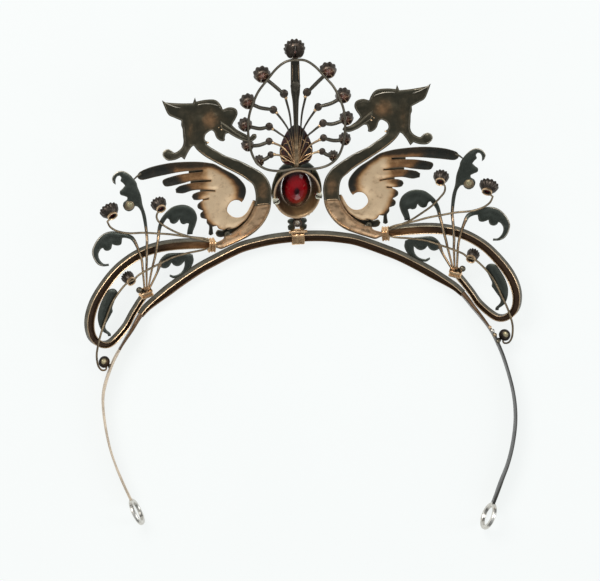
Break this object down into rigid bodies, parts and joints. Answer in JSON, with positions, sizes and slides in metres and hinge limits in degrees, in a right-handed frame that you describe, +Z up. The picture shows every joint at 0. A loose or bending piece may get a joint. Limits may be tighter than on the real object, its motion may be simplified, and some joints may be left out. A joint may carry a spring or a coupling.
{
  "type": "tiara",
  "caption": "Silver and gold tiara with winged dragons facing an oval stone under an enamelled palmette and a fan of small stones, on a scrolled rail with two legs for the head",
  "frame": {"origin": "on the surface that the tiara rests on, under the middle of its bounding box", "axes": "+Z up from the surface, out of the back of the ornament; +Y from the ends of the legs to the top of the fan; +X to the right as the back is seen"},
  "size_m": [0.1544, 0.1768, 0.0442],
  "materials": {
    "oxidised_silver": "oxidised, brushed by wear",
    "worn_silver": "worn satin",
    "leg_silver": "oxidised satin",
    "gilded_silver": "tarnished gilding",
    "mottled_gilding": "mottled tarnished gilding",
    "red_gold": "polished, worn",
    "red_enamel": "glossy enamel",
    "garnet": "polished",
    "small_stones": "polished",
    "pale_stone": "polished"
  },
  "bodies": {
    "root": {"base_rail": "oxidised_silver", "centre_setting": "red_gold", "centre_stone": "garnet", "centre_tie": "red_gold", "crest_leaf_left": "oxidised_silver", "crest_leaf_right": "oxidised_silver", "dragon_left": "gilded_silver", "dragon_right": "gilded_silver", "fan_frame": "oxidised_silver", "fan_stone_left_1": "small_stones", "fan_stone_left_2": "small_stones", "fan_stone_left_3": "small_stones", "fan_stone_left_4": "small_stones", "fan_stone_left_5": "small_stones", "fan_stone_right_1": "small_stones", "fan_stone_right_2": "small_stones", "fan_stone_right_3": "small_stones", "fan_stone_right_4": "small_stones", "fan_stone_right_5": "small_stones", "fan_stone_top": "small_stones", "inner_leaf_left": "oxidised_silver", "inner_leaf_right": "oxidised_silver", "leg_left": "worn_silver", "leg_right": "leg_silver", "link_setting": "red_gold", "link_stone": "pale_stone", "loop_leaf_left": "oxidised_silver", "loop_leaf_right": "oxidised_silver", "low_flower_stone_left": "garnet", "low_flower_stone_right": "garnet", "lower_spray_left": "oxidised_silver", "lower_spray_right": "oxidised_silver", "lower_tie_left": "red_gold", "lower_tie_right": "red_gold", "outer_leaf_left": "oxidised_silver", "outer_leaf_right": "oxidised_silver", "oval_ring": "worn_silver", "palmette": "red_enamel", "rail_leaf_left": "oxidised_silver", "rail_leaf_right": "oxidised_silver", "scroll_loop_left": "oxidised_silver", "scroll_loop_right": "oxidised_silver", "short_flower_stone_left": "garnet", "short_flower_stone_right": "garnet", "tall_flower_stone_left": "garnet", "tall_flower_stone_right": "garnet", "upper_spray_left": "oxidised_silver", "upper_spray_right": "oxidised_silver", "upper_tie_left": "red_gold", "upper_tie_right": "red_gold", "wing_left": "mottled_gilding", "wing_right": "mottled_gilding"}
  },
  "joints": []
}
